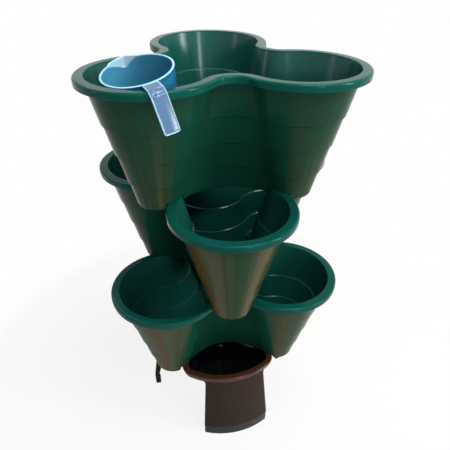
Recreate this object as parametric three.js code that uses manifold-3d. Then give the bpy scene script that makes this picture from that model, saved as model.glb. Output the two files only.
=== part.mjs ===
// Vertical planter tower: three trefoil pots stacked on a stand with three curved legs,
// and a small jug that hooks over the top rim. Lengths are in millimetres, +Z is up,
// and the origin lies on the floor, on the tower's axis.
import * as THREE from 'three';
import { mergeVertices } from 'three/addons/utils/BufferGeometryUtils.js';
import Module from 'manifold-3d';

const wasm = await Module();
wasm.setup();

const degree = Math.PI / 180;
const third = 120 * degree;

// Trefoil outline, measured at the outer edge of a pot's rim
const lobeRadius = 100.8;
const lobeReach = 124.2;
const valleyRadius = 27.8;
const lobeSteps = 14;
const valleySteps = 6;

// Pot
const potHeight = 201.7;
const potWall = 2.5;
const rimWidth = 15;
const rimLipHeight = 10.5;
const rimLipWall = 2.5;
const rimRound = 3.6;
const rimInnerRound = 1.6;
const wallTopInset = 11.6;
const wallBottomInset = 66.7;
const ledgeDepths = [65, 112, 158];
const ledgeInset = 2;
const ledgeHeight = 1.4;
const floorRound = 3.5;
const drainRadius = 4;
const drainSides = 10;

// Seat of one pot on the rim below it
const seatDepth = 11.4;
const seatGap = 0.3;
const grooveClearance = 0.8;

// Stand
const standHeight = 161.1;
const standRadius = 141.5;
const standCornerLeast = 3;
const standRimWidth = 12.5;
const standWall = 2.5;
const standLipHeight = 14;
const standLipTaper = 4;
const standRimRound = 2.4;
const dishDepth = 39;
const dishFlare = 11.5;
const dishFloorRound = 4;
const arcSteps = 5;
const cornerSteps = 3;
const biteSteps = 6;

// Legs, which are curved channels open towards the axis
const legTopRadius = 136;
const legFootRadius = 153.9;
const legHalfAngle = 26.4 * degree;
const legTurn = 4.5 * degree;
const legWall = 3.2;
const legTopEdge = 20;
const legFootEdge = 9;
const legEdgeWall = 3.2;
const legFillet = 11;
const legFilletSteps = 3;
const legSteps = 7;

// Foot shoes, pushed onto the legs from below
const shoeHeight = 25;
const shoeWall = 1.2;
const shoeFloor = 2;
const shoeGap = 0.3;

// Jug
const jugRadius = 48.9;
const jugFootRadius = 40.8;
const jugHeight = 98;
const jugWall = 1.8;
const jugFloor = 2.2;
const jugBead = 1.2;
const jugBeadHeight = 3;
const jugFootRound = 4;
const jugSteps = 40;
const strapWidth = 21.5;
const strapWall = 2.2;
const strapFlat = 14.5;
const strapBend = 13.4;
const strapSplay = 27.5 * degree;
const strapDrop = 44;
const strapSteps = 6;

// The jug's pouring lip: flat faces that run down to one point under the rim. Each corner says
// how far the rim is pushed out, at an angle from that point.
const spoutAngle = 183 * degree;
const spoutDepth = 12;
const spoutLevels = 3;
const spoutCorners = [
  { aside: -21 * degree, reach: 0 },
  { aside: -3 * degree, reach: 10 },
  { aside: 24 * degree, reach: 4.5 },
  { aside: 33 * degree, reach: 0 },
];

// Where the jug hooks on: its lobe, the place of its strap along the lobe's rim, and its lean.
// The lower edge of the strap bears on the rim where its flat top turns into its shoulder.
const jugLobe = 1;
const hookAngle = 267.6 * degree;
const hookGap = 0.4;
const jugHeading = -71.7 * degree;
const jugPitch = 5.5 * degree;
const jugRoll = 11 * degree;

// One overrun serves every cut that has to break through a face
const overrun = 5;

// Sizes that follow from the ones above
const lobeToValley = lobeRadius + valleyRadius;
const valleyRoot = 4 * lobeToValley ** 2 - 3 * lobeReach ** 2;
const valleyDistance = (lobeReach + Math.sqrt(valleyRoot)) / 2;
const valleySide = valleyDistance * Math.sin(third / 2);
const valleyAhead = valleyDistance * Math.cos(third / 2) - lobeReach;
const lobeHalfSweep = Math.atan2(valleySide, valleyAhead);
const valleyHalfSweep = lobeHalfSweep - third / 2;
const tierPitch = potHeight - seatDepth;

// Above its shoe a leg steps out by the shoe's wall, so that the two lie flush, and leans in
const shoeSink = shoeGap + shoeWall;
const legStep = shoeHeight + shoeGap;

// The stand's corners leave its bites where a pot's rim leaves its valleys, so both fit one groove
const valleyLean = -valleyDistance * Math.cos(valleyHalfSweep);
const valleyRoom = valleyDistance ** 2 + valleyRadius ** 2 + 2 * valleyRadius * valleyLean;
const cornerRoom = standRadius ** 2 - valleyRoom;
const standCornerRadius = cornerRoom / (2 * (valleyLean + valleyRadius + standRadius));
const lobeTurn = 90 * degree;

const materials = {
  pot: new THREE.MeshStandardMaterial({ color: 0x145a46, roughness: 0.32, metalness: 0 }),
  stand: new THREE.MeshStandardMaterial({ color: 0x33201b, roughness: 0.35, metalness: 0 }),
  shoe: new THREE.MeshStandardMaterial({ color: 0x14171c, roughness: 0.25, metalness: 0 }),
  jug: new THREE.MeshStandardMaterial({ color: 0x5b94c4, roughness: 0.2, metalness: 0 }),
};

function polar(radius, angle) {
  return new THREE.Vector2(radius * Math.cos(angle), radius * Math.sin(angle));
}

// Points of an arc from angle a to angle b, with both ends
function arc(centre, radius, a, b, steps) {
  return Array.from({ length: steps + 1 }, (_, i) =>
    polar(radius, a + ((b - a) * i) / steps).add(centre));
}

// The trefoil, drawn this far inside a pot's rim edge: lobes shrink and valleys widen alike
function trefoil(inset, turn = 0) {
  const points = [];
  for (let k = 0; k < 3; k++) {
    const a = turn + lobeTurn + k * third;
    const lobe = polar(lobeReach, a);
    const valley = polar(valleyDistance, a + third / 2);
    const back = a + third / 2 + Math.PI;
    points.push(...arc(lobe, lobeRadius - inset, a - lobeHalfSweep, a + lobeHalfSweep, lobeSteps));
    points.push(...arc(valley, valleyRadius + inset, back + valleyHalfSweep,
      back - valleyHalfSweep, valleySteps).slice(1, -1));
  }
  return points;
}

// The stand's round outline with three bites that follow the valleys of a pot's rim
function standOutline(inset) {
  const points = [];
  const corner = Math.max(standCornerRadius - inset, standCornerLeast);
  const reach = standRadius - inset - corner;
  const toValley = valleyRadius + inset + corner;
  const cosine = (reach ** 2 + valleyDistance ** 2 - toValley ** 2) / (2 * reach * valleyDistance);
  const aside = Math.acos(cosine);
  const lean = Math.atan2(reach * Math.sin(aside), valleyDistance - reach * cosine);
  for (let k = 0; k < 3; k++) {
    const a = lobeTurn + k * third;
    const first = polar(reach, a - aside);
    const second = polar(reach, a + aside);
    const bite = polar(valleyDistance, a);
    const axis = new THREE.Vector2();
    points.push(...arc(first, corner, a - aside, a + lean, cornerSteps));
    points.push(...arc(bite, -valleyRadius - inset, a + lean, a - lean, biteSteps).slice(1, -1));
    points.push(...arc(second, corner, a - lean, a + aside, cornerSteps));
    points.push(...arc(axis, standRadius - inset, a + aside, a + third - aside, arcSteps).slice(1, -1));
  }
  return points;
}

// Closed solid through rings of equal point counts, each given as { outline, z }
function loft(rings) {
  const count = rings[0].outline.length;
  const position = rings.flatMap(({ outline, z }) => outline.flatMap((p) => [p.x, p.y, z]));
  const index = [];
  for (let i = 0; i + 1 < rings.length; i++) {
    for (let j = 0; j < count; j++) {
      const a = i * count + j;
      const b = i * count + ((j + 1) % count);
      index.push(a, b, b + count, a, b + count, a + count);
    }
  }
  const last = (rings.length - 1) * count;
  for (const [a, b, c] of THREE.ShapeUtils.triangulateShape(rings[0].outline, [])) {
    index.push(c, b, a);
  }
  for (const [a, b, c] of THREE.ShapeUtils.triangulateShape(rings.at(-1).outline, [])) {
    index.push(last + a, last + b, last + c);
  }
  const geometry = new THREE.BufferGeometry();
  geometry.setAttribute('position', new THREE.Float32BufferAttribute(position, 3));
  geometry.setIndex(index);
  return toSolid(geometry);
}

function toSolid(geometry) {
  const bare = geometry.clone();
  bare.deleteAttribute('normal');
  bare.deleteAttribute('uv');
  const merged = mergeVertices(bare);
  const mesh = new wasm.Mesh({
    numProp: 3,
    vertProperties: new Float32Array(merged.attributes.position.array),
    triVerts: new Uint32Array(merged.index.array),
  });
  return new wasm.Manifold(mesh);
}

function toGeometry(solid) {
  const { vertProperties, triVerts } = solid.getMesh();
  const geometry = new THREE.BufferGeometry();
  geometry.setAttribute('position', new THREE.Float32BufferAttribute(vertProperties, 3));
  geometry.setIndex([...triVerts]);
  geometry.computeVertexNormals();
  return geometry;
}

// A straight band between two insets of one outline
function band(outline, from, to, bottom, top) {
  const outer = loft([{ outline: outline(from), z: bottom }, { outline: outline(from), z: top }]);
  const low = bottom - overrun;
  const inner = loft([{ outline: outline(to), z: low }, { outline: outline(to), z: top + overrun }]);
  return outer.subtract(inner);
}

// How far the outside of a pot's wall lies inside the rim edge, at a depth below the rim
function wallInset(depth) {
  const taper = (wallBottomInset - wallTopInset - ledgeInset * ledgeDepths.length) / potHeight;
  const ledges = ledgeDepths.filter((ledge) => depth > ledge).length;
  return wallTopInset + taper * depth + ledgeInset * ledges;
}

// Rings of a pot's wall from its floor up, with both edges of each ledge
function wallRings(extra, bottom) {
  const rings = [];
  for (const ledge of [...ledgeDepths].reverse()) {
    const low = ledge + ledgeHeight;
    rings.push({ outline: trefoil(wallInset(low) + extra), z: potHeight - low });
    rings.push({ outline: trefoil(wallInset(ledge) + extra), z: potHeight - ledge });
  }
  const foot = wallInset(potHeight - bottom) + extra;
  return [
    { outline: trefoil(foot + floorRound), z: bottom },
    { outline: trefoil(foot), z: bottom + floorRound },
    ...rings,
  ];
}

function potOutside() {
  const underRim = potHeight - rimLipWall;
  const lipBottom = potHeight - rimLipHeight;
  const shoulder = rimRound * (1 - Math.SQRT1_2);
  return loft([
    ...wallRings(0, 0),
    { outline: trefoil(wallInset(rimLipWall)), z: underRim },
    { outline: trefoil(rimLipWall), z: underRim },
    { outline: trefoil(rimLipWall), z: lipBottom },
    { outline: trefoil(0), z: lipBottom },
    { outline: trefoil(0), z: potHeight - rimRound },
    { outline: trefoil(shoulder), z: potHeight - shoulder },
    { outline: trefoil(rimRound), z: potHeight },
  ]);
}

function potInside() {
  return loft([
    ...wallRings(potWall, potWall),
    { outline: trefoil(rimWidth), z: potHeight - rimInnerRound },
    { outline: trefoil(rimWidth - rimInnerRound), z: potHeight },
    { outline: trefoil(rimWidth - rimInnerRound), z: potHeight + overrun },
  ]);
}

function drain(centre) {
  const geometry = new THREE.CylinderGeometry(drainRadius, drainRadius, 2 * overrun, drainSides);
  geometry.rotateX(lobeTurn);
  geometry.translate(centre.x, centre.y, 0);
  return toSolid(geometry);
}

// A pot stands on its own floor at z = 0, with one lobe towards +Y. Its floor is lifted in a
// channel that takes the valleys of the rim below, which is turned by half a lobe.
function makePot() {
  const rimBelow = (inset) => trefoil(inset, third / 2);
  const grooveTop = seatDepth + seatGap;
  const grooveInset = wallInset(seatDepth) + potWall + grooveClearance;
  const groove = band(rimBelow, -grooveClearance, grooveInset, -overrun, grooveTop);
  const ridgeInset = grooveInset + potWall;
  const ridge = band(rimBelow, -grooveClearance - potWall, ridgeInset, 0, grooveTop + potWall);
  let pot = potOutside().subtract(potInside().subtract(ridge)).subtract(groove);
  pot = pot.subtract(drain(new THREE.Vector2()));
  for (let k = 0; k < 3; k++) {
    pot = pot.subtract(drain(polar(valleyDistance, lobeTurn + k * third)));
  }
  return toGeometry(pot);
}

// Outside radius of a leg at a height: straight inside its shoe, then leaning in to the rim
function legRadius(z) {
  const top = standHeight - standLipHeight;
  const rise = Math.max(z - legStep, 0) / (top - legStep);
  return legFootRadius + (legTopRadius - legFootRadius) * rise;
}

// Half of a leg's angle at a height, with a fillet where its edges run into the rim
function legHalf(z) {
  const start = standHeight - standLipHeight - legFillet;
  const up = Math.min(Math.max(z - start, 0), legFillet);
  return legHalfAngle + (legFillet - Math.sqrt(legFillet ** 2 - up ** 2)) / legRadius(z);
}

// Depth of a leg's side edges, which grow towards the rim
function legEdge(z) {
  const top = standHeight - standLipHeight;
  const rise = Math.min(Math.max(z - legStep, 0) / (top - legStep), 1);
  return legFootEdge + (legTopEdge - legFootEdge) * rise;
}

// Section of a leg at a height, grown on every side after its outside and side edges are sunk
function legSection(z, grow, sink) {
  const axis = new THREE.Vector2();
  const middle = legRadius(z) - sink;
  const outside = middle + grow;
  const inside = middle - legWall - grow;
  const edge = middle - legEdge(z) - grow;
  const half = legHalf(z) + (grow - sink) / middle;
  const innerHalf = half - (legEdgeWall + 2 * grow) / middle;
  return [
    ...arc(axis, outside, -half, half, legSteps),
    polar(edge, half),
    polar(edge, innerHalf),
    ...arc(axis, inside, innerHalf, -innerHalf, legSteps),
    polar(edge, -innerHalf),
    polar(edge, -half),
  ];
}

function legRings(heights, grow, sink) {
  return heights.map((z) => ({ outline: legSection(z, grow, sink), z }));
}

function makeLeg() {
  const lipBottom = standHeight - standLipHeight;
  const fillet = Array.from({ length: legFilletSteps + 1 }, (_, i) =>
    lipBottom - legFillet * Math.cos((i * lobeTurn) / legFilletSteps));
  const inRim = standHeight - standWall / 2;
  return loft([
    ...legRings([shoeFloor + shoeGap, legStep], 0, shoeSink),
    ...legRings([legStep, ...fillet, inRim], 0, 0),
  ]);
}

function makeShoe() {
  const outside = loft(legRings([0, shoeHeight], shoeSink, shoeSink));
  const pocket = loft(legRings([shoeFloor, shoeHeight, shoeHeight + overrun], shoeGap, shoeSink));
  return toGeometry(outside.subtract(pocket));
}

function makeStand() {
  const underRim = standHeight - standWall;
  const lipBottom = standHeight - standLipHeight;
  const floor = standHeight - dishDepth;
  const wallTop = standRimWidth - standWall;
  const wallFoot = wallTop + dishFlare;
  const innerFoot = wallFoot + standWall;
  const outside = loft([
    { outline: standOutline(wallFoot + dishFloorRound), z: floor },
    { outline: standOutline(wallFoot), z: floor + dishFloorRound },
    { outline: standOutline(wallTop), z: underRim },
    { outline: standOutline(standWall), z: underRim },
    { outline: standOutline(standLipTaper + standWall), z: lipBottom },
    { outline: standOutline(standLipTaper), z: lipBottom },
    { outline: standOutline(0), z: standHeight - standRimRound },
    { outline: standOutline(standRimRound), z: standHeight },
  ]);
  const inside = loft([
    { outline: standOutline(innerFoot + dishFloorRound), z: floor + standWall },
    { outline: standOutline(innerFoot), z: floor + standWall + dishFloorRound },
    { outline: standOutline(standRimWidth), z: standHeight },
    { outline: standOutline(standRimWidth), z: standHeight + overrun },
  ]);
  let stand = outside;
  for (let k = 0; k < 3; k++) {
    const turn = (lobeTurn + third / 2 + k * third + legTurn) / degree;
    stand = stand.add(makeLeg().rotate([0, 0, turn]));
  }
  return toGeometry(stand.subtract(inside));
}

// How far the lip pushes the wall out beside its lowest point, at a share of its full size
function spoutPush(aside, share) {
  for (let i = 1; i < spoutCorners.length; i++) {
    const from = spoutCorners[i - 1];
    const to = spoutCorners[i];
    const along = (aside - from.aside * share) / ((to.aside - from.aside) * share);
    if (along >= 0 && along <= 1) {
      return share * (from.reach + (to.reach - from.reach) * along);
    }
  }
  return 0;
}

// One ring of the jug, pushed out into the lip on the side away from the strap
function jugRing(radius, z) {
  const share = 1 + Math.min(z, 0) / spoutDepth;
  const outline = [];
  for (let i = 0; i < jugSteps; i++) {
    const angle = (i * 2 * Math.PI) / jugSteps;
    const push = share > 0 ? spoutPush(angle - spoutAngle, share) : 0;
    outline.push(polar(radius + push, angle));
  }
  return { outline, z };
}

// Outside radius of the jug's wall, which is tucked in under the bead of its rim
function jugSide(z) {
  const side = jugRadius + ((jugRadius - jugFootRadius) * z) / jugHeight;
  const tuck = (z + spoutDepth) / (spoutDepth - jugBeadHeight);
  return side - jugBead * Math.min(Math.max(tuck, 0), 1);
}

// The jug in its own frame: rim plane at z = 0, strap towards +X
function makeJugBody() {
  const inner = (z) => jugSide(z) - jugWall;
  const levels = Array.from({ length: spoutLevels + 1 }, (_, i) =>
    -spoutDepth + ((spoutDepth - jugBeadHeight) * i) / spoutLevels);
  const outside = loft([
    jugRing(jugFootRadius - jugFootRound, -jugHeight),
    jugRing(jugFootRadius, jugFootRound - jugHeight),
    ...levels.map((z) => jugRing(jugSide(z), z)),
    jugRing(jugRadius, -jugBeadHeight),
    jugRing(jugRadius, 0),
  ]);
  const inside = loft([
    jugRing(inner(-jugHeight) - jugFootRound, jugFloor - jugHeight),
    jugRing(inner(-jugHeight), jugFloor + jugFootRound - jugHeight),
    ...levels.map((z) => jugRing(inner(z), z)),
    jugRing(jugRadius - jugWall - jugBead, 0),
    jugRing(jugRadius - jugWall - jugBead, overrun),
  ]);
  return outside.subtract(inside);
}

// The strap: out from the rim, over a bend, then straight down and away, as one extruded strip
function makeStrap() {
  const half = strapWall / 2;
  const root = jugRadius - jugWall;
  const middle = new THREE.Vector2(jugRadius + strapFlat, -half - strapBend);
  const quarter = lobeTurn;
  const drop = polar(strapDrop, strapSplay - quarter);
  const shape = new THREE.Shape([
    new THREE.Vector2(root, 0),
    ...arc(middle, strapBend + half, quarter, strapSplay, strapSteps),
    polar(strapBend + half, strapSplay).add(middle).add(drop),
    polar(strapBend - half, strapSplay).add(middle).add(drop),
    ...arc(middle, strapBend - half, strapSplay, quarter, strapSteps),
    new THREE.Vector2(root, -strapWall),
  ]);
  const geometry = new THREE.ExtrudeGeometry(shape, { depth: strapWidth, bevelEnabled: false });
  geometry.rotateX(quarter);
  geometry.translate(0, strapWidth / 2, 0);
  return toSolid(geometry);
}

function makeJug() {
  return toGeometry(makeJugBody().add(makeStrap()));
}

function addMesh(parent, name, geometry, material) {
  const mesh = new THREE.Mesh(geometry, material);
  mesh.name = name;
  parent.add(mesh);
  return mesh;
}

const tower = new THREE.Group();
tower.name = 'planter_tower';

addMesh(tower, 'stand', makeStand(), materials.stand);
['left', 'front', 'right'].forEach((side, k) => {
  const shoe = addMesh(tower, `${side}_foot_shoe`, makeShoe(), materials.shoe);
  shoe.rotation.z = lobeTurn + third / 2 + k * third + legTurn;
});

['bottom', 'middle', 'top'].forEach((tier, k) => {
  const pot = addMesh(tower, `${tier}_pot`, makePot(), materials.pot);
  pot.position.z = standHeight - seatDepth + k * tierPitch;
  pot.rotation.z = (k % 2) * (third / 2);
});

// The jug hangs from the lower edge of its strap, which rests on the top rim
const towerHeight = standHeight - seatDepth + 2 * tierPitch + potHeight;
const hookLobe = polar(lobeReach, lobeTurn + jugLobe * third);
const hookPlace = polar(lobeRadius - rimRound, hookAngle).add(hookLobe);
const hookTop = new THREE.Vector3(hookPlace.x, hookPlace.y, towerHeight + hookGap);
const strapSeat = new THREE.Vector3(jugRadius + strapFlat, -strapWidth / 2, -strapWall);
const jug = addMesh(tower, 'jug', makeJug(), materials.jug);
jug.rotation.set(jugRoll, jugPitch, jugHeading, 'ZYX');
jug.position.copy(hookTop).sub(strapSeat.applyEuler(jug.rotation));

export default tower;
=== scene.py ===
"""Vertical planter tower: three trefoil pots on a stand with three curved legs, and a jug.

Every piece is drawn from the same lengths as the solids it stands for, with finer curves,
rounded edges and moulded plastic materials. Lengths are in millimetres until a mesh is made.
"""
import math

import bmesh
import bpy
from mathutils import Euler, Matrix, Vector


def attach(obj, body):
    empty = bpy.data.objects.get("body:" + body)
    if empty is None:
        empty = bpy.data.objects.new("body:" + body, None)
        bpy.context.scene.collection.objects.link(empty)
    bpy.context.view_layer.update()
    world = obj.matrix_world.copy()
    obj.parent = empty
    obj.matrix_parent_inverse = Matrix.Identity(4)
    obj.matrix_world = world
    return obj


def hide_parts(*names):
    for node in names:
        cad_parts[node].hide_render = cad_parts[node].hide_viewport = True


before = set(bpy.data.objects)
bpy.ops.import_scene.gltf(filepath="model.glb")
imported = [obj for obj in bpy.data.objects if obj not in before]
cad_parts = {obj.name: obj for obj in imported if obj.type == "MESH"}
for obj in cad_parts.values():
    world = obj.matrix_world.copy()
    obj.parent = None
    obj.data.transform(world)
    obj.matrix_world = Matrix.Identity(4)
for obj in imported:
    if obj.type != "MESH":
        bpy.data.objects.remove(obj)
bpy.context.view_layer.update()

MM = 0.001
THIRD = math.radians(120)
QUARTER = math.radians(90)

# Drawing of profiles and meshes: points in a rounding, guard points beside it and how near they may
# lie, the most of a side that a rounding or a guard may take, and the least angle of a crisp edge
ROUND_STEPS = 5
FINE_ROUND_STEPS = 4
BAND_ROUND_STEPS = 3
GUARD = 0.6
FINE_GUARD = 0.4
BOSS_GUARD = 0.1
GUARD_LEAST = 0.05
GUARD_SHARE = 0.04
ROUND_SHARE = 0.45
WELD_DISTANCE = 0.00001
CRISP_ANGLE = math.radians(32)

# Trefoil outline at the outer edge of a pot's rim
LOBE_RADIUS = 100.8
LOBE_DISTANCE = 124.2
VALLEY_RADIUS = 27.8
LOBE_STEPS = 60
VALLEY_STEPS = 22

# Pot
POT_HEIGHT = 201.7
POT_WALL = 2.5
RIM_WIDTH = 15
RIM_LIP_HEIGHT = 10.5
RIM_LIP_WALL = 2.5
RIM_ROUND = 3.6
RIM_INNER_ROUND = 1.6
WALL_TOP_INSET = 11.6
WALL_BOTTOM_INSET = 66.7
LEDGE_DEPTHS = (65, 112, 158)
LEDGE_STEP = 2
LEDGE_HEIGHT = 1.4
LEDGE_ROUND = 0.7
FLOOR_ROUND = 3.5
FLOOR_FLAT = 9
INNER_FLOOR_FLAT = 6
DRAIN_RADIUS = 4
DRAIN_STEPS = 32
DRAIN_FROM = -4
DRAIN_TO = 30
EDGE_ROUND = 0.7

# Seat of one pot on the rim below it
SEAT_DEPTH = 11.4
SEAT_GAP = 0.3
GROOVE_CLEARANCE = 0.8
GROOVE_FOOT = -5
RIDGE_ROUND = 1.2
RIDGE_FOOT = 0.6
CORE_FOOT = 0.4
CORE_TOP = 30

# Stand
STAND_HEIGHT = 161.1
STAND_RADIUS = 141.5
STAND_CORNER_LEAST = 3
STAND_RIM_WIDTH = 12.5
STAND_WALL = 2.5
STAND_LIP_HEIGHT = 14
STAND_LIP_TAPER = 4
STAND_RIM_ROUND = 2.4
STAND_RIM_INNER_ROUND = 1.4
DISH_DEPTH = 39
DISH_FLARE = 11.5
DISH_FLOOR_ROUND = 4
HOLLOW_MOUTH_SHARE = 0.4
HOLLOW_MOUTH_INSET = 0.05
HOLLOW_FOOT_INSET = 0.4
ARC_STEPS = 24
CORNER_STEPS = 10
BITE_STEPS = 22

# Legs
LEG_TOP_RADIUS = 136
LEG_FOOT_RADIUS = 153.9
LEG_HALF_ANGLE = math.radians(26.4)
LEG_TURN = math.radians(4.5)
LEG_WALL = 3.2
LEG_TOP_EDGE = 20
LEG_FOOT_EDGE = 9
LEG_EDGE_WALL = 3.2
LEG_EDGE_ROUND = 2.2
LEG_TIP_ROUND = 1.2
LEG_FILLET = 11
LEG_ROUND_LEAST = 0.3
LEG_TIP_SHARE = 0.48
LEG_HOLLOW_LEAST = 0.8
LEG_STEPS = 40
LEG_EDGE_STEPS = 5
LEG_TIP_STEPS = 4
LEG_STEP_LEVELS = (0, 0.5, 2)
LEG_LEVELS = 6
LEG_FILLET_LEVELS = 10

# Foot shoes
SHOE_HEIGHT = 25
SHOE_WALL = 1.2
SHOE_FLOOR = 2
SHOE_GAP = 0.3
SHOE_ROUND = 1.4
SHOE_MOUTH_ROUND = 0.5
SHOE_SOLE_FLAT = 4

# Jug
JUG_RADIUS = 48.9
JUG_FOOT_RADIUS = 40.8
JUG_HEIGHT = 98
JUG_WALL = 1.8
JUG_FLOOR = 2.2
JUG_BEAD = 1.2
JUG_BEAD_HEIGHT = 3
BEAD_FOOT_ROUND = 0.3
BEAD_LOWER_ROUND = 0.6
BEAD_UPPER_ROUND = 0.9
BEAD_INNER_ROUND = 0.7
JUG_FOOT_ROUND = 4
JUG_INNER_FOOT_ROUND = 3
JUG_FOOT_FLAT = 8
JUG_INNER_FOOT_FLAT = 10
JUG_STEPS = 160
STRAP_WIDTH = 21.5
STRAP_WALL = 2.2
STRAP_FLAT = 14.5
STRAP_BEND = 13.4
STRAP_SPLAY = math.radians(27.5)
STRAP_DROP = 44
STRAP_BORDER = 1.7
STRAP_BORDER_SLACK = 0.4
STRAP_SUNK = 0.35
STRAP_CORNER_SHARE = 0.75
STRAP_CORNER_STEPS = 5
STRAP_END_ROUND = 3
STRAP_END_STEPS = 6
STRAP_FLAT_STEPS = 9
STRAP_BEND_STEPS = 16
STRAP_DROP_STEPS = 12
STRAP_DROP_START = 0.4

# Slope of the strap's borders: places across it, and the shares of its sunk depth there
STRAP_SLOPE = ((-0.6, 1), (-0.3, 0.85), (0, 0.5), (0.3, 0.15), (0.5, 0))

BOSS_RADIUS = 4.6
BOSS_RISE = 0.9
BOSS_SUNK = 1.1
BOSS_ASIDE = -5.2
BOSS_ANGLE = math.radians(48)
BOSS_STEPS = 40
BOSS_ROOT_SHARE = 0.6

# Profile of the boss: how far in from its radius, how high, and the rounding
BOSS_PROFILE = (
    (0.2, 0, 0.3), (0.9, BOSS_RISE, 0.5), (1.9, BOSS_RISE, 0.5), (2.8, BOSS_RISE - BOSS_SUNK, 0.6),
)
BOSS_MIDDLE = 0.2

# Pouring lip: the angle of its lowest point, its depth, and how far the rim reaches out at angles
# from that point, with flat faces from there down
SPOUT_ANGLE = math.radians(183)
SPOUT_DEPTH = 12
SPOUT_LEVELS = 12
SPOUT_MARGIN = 1
SPOUT_CORNERS = [(math.radians(a), reach) for a, reach in ((-21, 0), (-3, 10), (24, 4.5), (33, 0))]

# Where the jug hooks on, and its lean
HOOK_LOBE = 1
HOOK_ANGLE = math.radians(267.6)
HOOK_GAP = 0.4
JUG_TURN = Euler((math.radians(11), math.radians(5.5), math.radians(-71.7)), "XYZ")

# Sizes that follow from the ones above
LOBE_TO_VALLEY = LOBE_RADIUS + VALLEY_RADIUS
VALLEY_DISTANCE = (LOBE_DISTANCE + math.sqrt(4 * LOBE_TO_VALLEY**2 - 3 * LOBE_DISTANCE**2)) / 2
LOBE_HALF_SWEEP = math.atan2(
    VALLEY_DISTANCE * math.sin(THIRD / 2), VALLEY_DISTANCE * math.cos(THIRD / 2) - LOBE_DISTANCE
)
VALLEY_HALF_SWEEP = LOBE_HALF_SWEEP - THIRD / 2
LEG_STEP = SHOE_HEIGHT + SHOE_GAP
SHOE_SINK = SHOE_GAP + SHOE_WALL
TIER_PITCH = POT_HEIGHT - SEAT_DEPTH
FIRST_POT = STAND_HEIGHT - SEAT_DEPTH
TOWER_HEIGHT = FIRST_POT + 2 * TIER_PITCH + POT_HEIGHT
VALLEY_LEAN = -VALLEY_DISTANCE * math.cos(VALLEY_HALF_SWEEP)
CORNER_ROOM = (
    STAND_RADIUS**2 - VALLEY_DISTANCE**2 - VALLEY_RADIUS**2 - 2 * VALLEY_RADIUS * VALLEY_LEAN
)
STAND_CORNER_RADIUS = CORNER_ROOM / (2 * (VALLEY_LEAN + VALLEY_RADIUS + STAND_RADIUS))

# Circle that the flow marks of round pieces are laid out on
MARK_RADIUS = 110

# How far apart the flow marks of two pots lie, for each length that the pots are apart
MARK_SHIFT = 17

# How far a material reaches past the edge that it ends at, in millimetres or as a share, and the
# least upward tilt of the dish's faces that take the near-black painted shade
RIM_DROP_SLACK = 0.5
RIM_INSET_SLACK = 0.3
RIM_TOP_SLACK = 2.2
STAND_TOP_SLACK = 1.5
STAND_LIP_SHARE = 1.03
STAND_LIP_SLACK = 1.2
DISH_SLACK = 1
DISH_TILT = 0.1
STRAP_SLACK = 0.3
BEAD_SLACK = 0.7

# Noise in the plastic: its scale to the metre, its detail, and its stretch down the moulding lines
DRIFT_NOISE = (7.0, 2.0)
FLOW_NOISE = (22.0, 0.6, 0.03)
FINE_FLOW_NOISE = (110.0, 1.0, 0.02)
GRAIN_NOISE = (1100.0, 1.0)
NOISE_LOW = 0.3
NOISE_HIGH = 0.7
COLOUR_DRIFT = 0.12
PLASTIC_IOR = 1.5

# Painted reflections on the pots' lobes, laid out by noise as flow bands, in metres: how far from
# the axis they set in and are full, where the painted reflection on the lobes' sides peaks, and the
# heights where both are faint and full
REFLECTION_BAND_SHARE = 0.75
REFLECTION_BAND_THIN_SHARE = 0.8
LOBE_START = 0.16
LOBE_FULL = 0.2
SIDE_RISE_END = 0.178
SIDE_FALL_START = 0.182
SIDE_REFLECTION_SHARE = 0.3
FAINT_HEIGHT = 0.68
FULL_HEIGHT = 0.48
FAINT_SHARE = 0.25

# Camera
CAMERA_PLACE = (-0.1082, -0.6877, 0.8912)
CAMERA_AHEAD = (0.14052, 0.82137, -0.55282)
CAMERA_RIGHT = (0.98597, -0.16692, 0.00261)
CAMERA_SENSOR = 36
CAMERA_LENS = 35.61
CAMERA_CLIP = (0.01, 50)

# Floor, in metres: its rings, the distances between which it turns white, and the least share of
# white that the camera sees
FLOOR_RINGS = (0.2, 0.5, 1.0, 2.0, 4.0, 8.0, 16.0)
FLOOR_STEPS = 48
FLOOR_ROUGH = 0.9
FADE_START = 0.15
FADE_END = 0.7
LEAST_WHITE = 0.85

# Light that the plain surroundings give, where white is seen
AMBIENT = 0.11


def polar(radius, angle):
    return Vector((radius * math.cos(angle), radius * math.sin(angle)))


def arc(centre, radius, a, b, steps):
    """Points of an arc from angle a to angle b, with both ends."""
    return [centre + polar(radius, a + (b - a) * i / steps) for i in range(steps + 1)]


def trefoil(inset, turn=0.0):
    """The trefoil, drawn this far inside a pot's rim edge."""
    points = []
    for k in range(3):
        a = turn + QUARTER + k * THIRD
        back = a + THIRD / 2 + math.pi
        lobe = polar(LOBE_DISTANCE, a)
        valley = polar(VALLEY_DISTANCE, a + THIRD / 2)
        points += arc(
            lobe, LOBE_RADIUS - inset, a - LOBE_HALF_SWEEP, a + LOBE_HALF_SWEEP, LOBE_STEPS
        )
        points += arc(
            valley, VALLEY_RADIUS + inset, back + VALLEY_HALF_SWEEP, back - VALLEY_HALF_SWEEP,
            VALLEY_STEPS,
        )[1:-1]
    return points


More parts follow.
